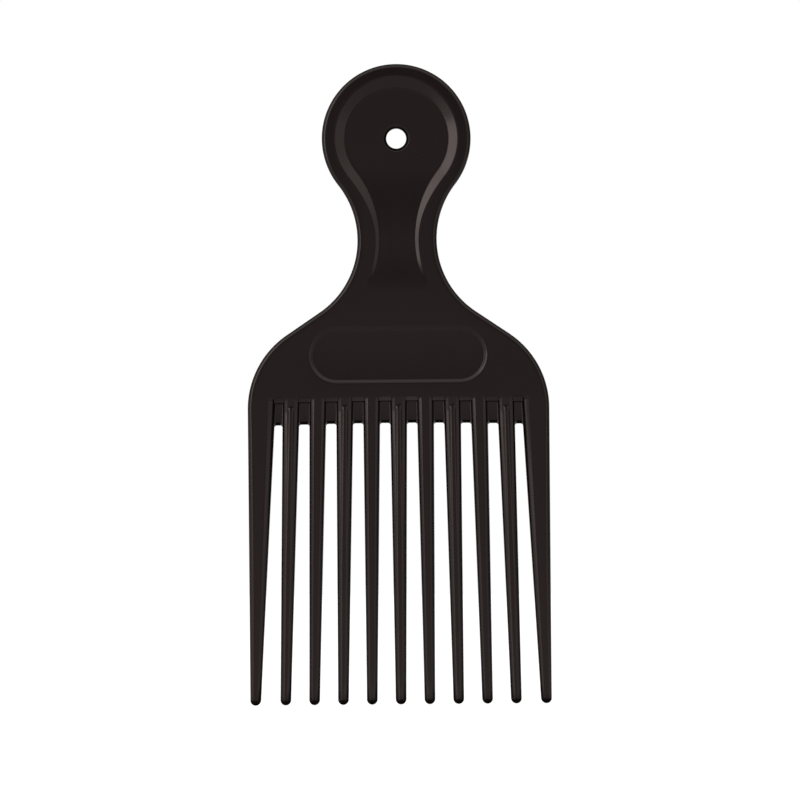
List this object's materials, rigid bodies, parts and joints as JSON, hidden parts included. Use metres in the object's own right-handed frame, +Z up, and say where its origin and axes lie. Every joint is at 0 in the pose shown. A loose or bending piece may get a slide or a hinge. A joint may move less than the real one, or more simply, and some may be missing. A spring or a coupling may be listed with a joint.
{
  "type": "afro pick",
  "caption": "Upright hair pick: round handle with a hang hole and thumb hollow, narrow neck, broad back and a row of long tapered tines.",
  "frame": {"origin": "centre of the hang hole at mid-thickness", "axes": "+Z up the handle, away from the tines; +X to the right across the comb; -Y out of the front face, which carries the sunk panel"},
  "size_m": [0.0802, 0.0046, 0.1703],
  "materials": {
    "moulding": "satin moulded plastic, near black and slightly warm"
  },
  "bodies": {
    "root": {"handle": "moulding", "comb_back": "moulding", "tine_01": "moulding", "tine_02": "moulding", "tine_03": "moulding", "tine_04": "moulding", "tine_05": "moulding", "tine_06": "moulding", "tine_07": "moulding", "tine_08": "moulding", "tine_09": "moulding", "tine_10": "moulding", "tine_11": "moulding", "web_01": "moulding", "web_02": "moulding", "web_03": "moulding", "web_04": "moulding", "web_05": "moulding", "web_06": "moulding", "web_07": "moulding", "web_08": "moulding", "web_09": "moulding", "web_10": "moulding"}
  },
  "joints": []
}
